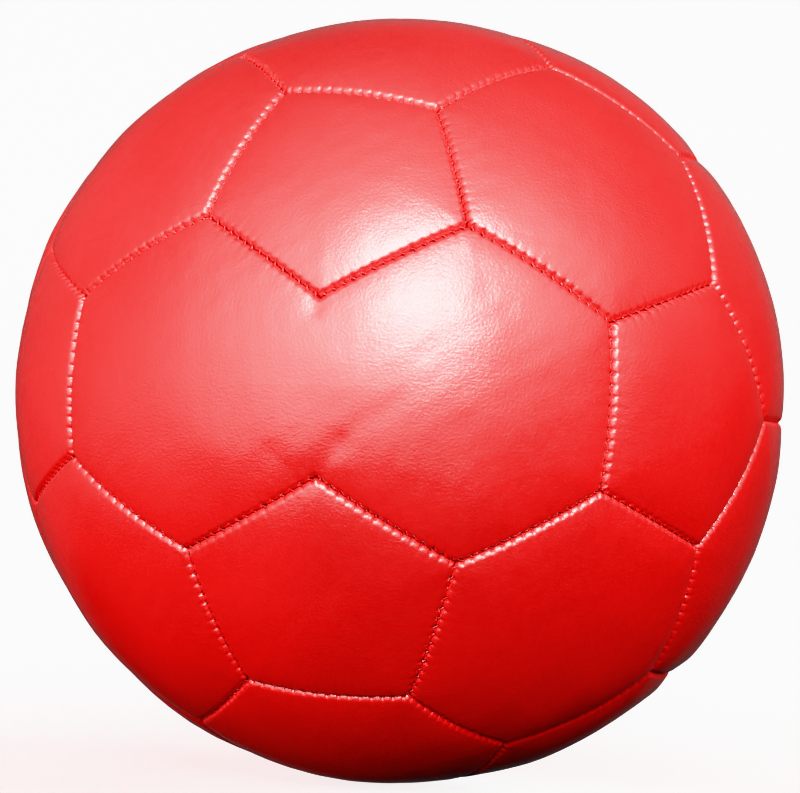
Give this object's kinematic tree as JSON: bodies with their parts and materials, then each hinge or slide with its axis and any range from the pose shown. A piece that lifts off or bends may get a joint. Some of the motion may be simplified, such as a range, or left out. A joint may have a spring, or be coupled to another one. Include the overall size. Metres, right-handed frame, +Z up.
{
  "type": "panel football",
  "caption": "Air-filled playground ball with a stitched cover of pentagon, hexagon and double panels over a bladder with a needle valve.",
  "frame": {"origin": "centre of the ball", "axes": "-Y through the middle of the front double panel, +Z up, +X to the right seen from the front"},
  "size_m": [0.22, 0.22, 0.22],
  "materials": {
    "red_cover": "glossy red synthetic leather with a fine grain",
    "white_foam": "matt closed-cell foam",
    "woven_lining": "matt woven cloth",
    "bladder_rubber": "matt butyl rubber",
    "red_thread": "waxed polyester thread",
    "valve_rubber": "satin rubber",
    "patch_cloth": "matt rubberised cloth"
  },
  "bodies": {
    "ball": {"bladder": "bladder_rubber", "double_foams": "white_foam", "double_linings": "woven_lining", "hexagon_foams": "white_foam", "hexagon_linings": "woven_lining", "panel_double_front": "red_cover", "panel_double_rear": "red_cover", "panel_hexagon_01": "red_cover", "panel_hexagon_02": "red_cover", "panel_hexagon_03": "red_cover", "panel_hexagon_04": "red_cover", "panel_hexagon_05": "red_cover", "panel_hexagon_06": "red_cover", "panel_hexagon_07": "red_cover", "panel_hexagon_08": "red_cover", "panel_hexagon_09": "red_cover", "panel_hexagon_10": "red_cover", "panel_hexagon_11": "red_cover", "panel_hexagon_12": "red_cover", "panel_hexagon_13": "red_cover", "panel_hexagon_14": "red_cover", "panel_hexagon_15": "red_cover", "panel_hexagon_16": "red_cover", "panel_pentagon_01": "red_cover", "panel_pentagon_02": "red_cover", "panel_pentagon_03": "red_cover", "panel_pentagon_04": "red_cover", "panel_pentagon_05": "red_cover", "panel_pentagon_06": "red_cover", "panel_pentagon_07": "red_cover", "panel_pentagon_08": "red_cover", "panel_pentagon_09": "red_cover", "panel_pentagon_10": "red_cover", "panel_pentagon_11": "red_cover", "panel_pentagon_12": "red_cover", "pentagon_foams": "white_foam", "pentagon_linings": "woven_lining", "seam_thread": "red_thread", "valve_housing": "valve_rubber", "valve_patch": "patch_cloth"},
    "valve_plug": {"valve_insert": "valve_rubber"}
  },
  "joints": [
    {"name": "valve_insert_pull", "type": "slide", "parent": "ball", "child": "valve_plug", "axis": [0.5774, 0.5774, 0.5774], "range_m": [0, 0.022]}
  ]
}
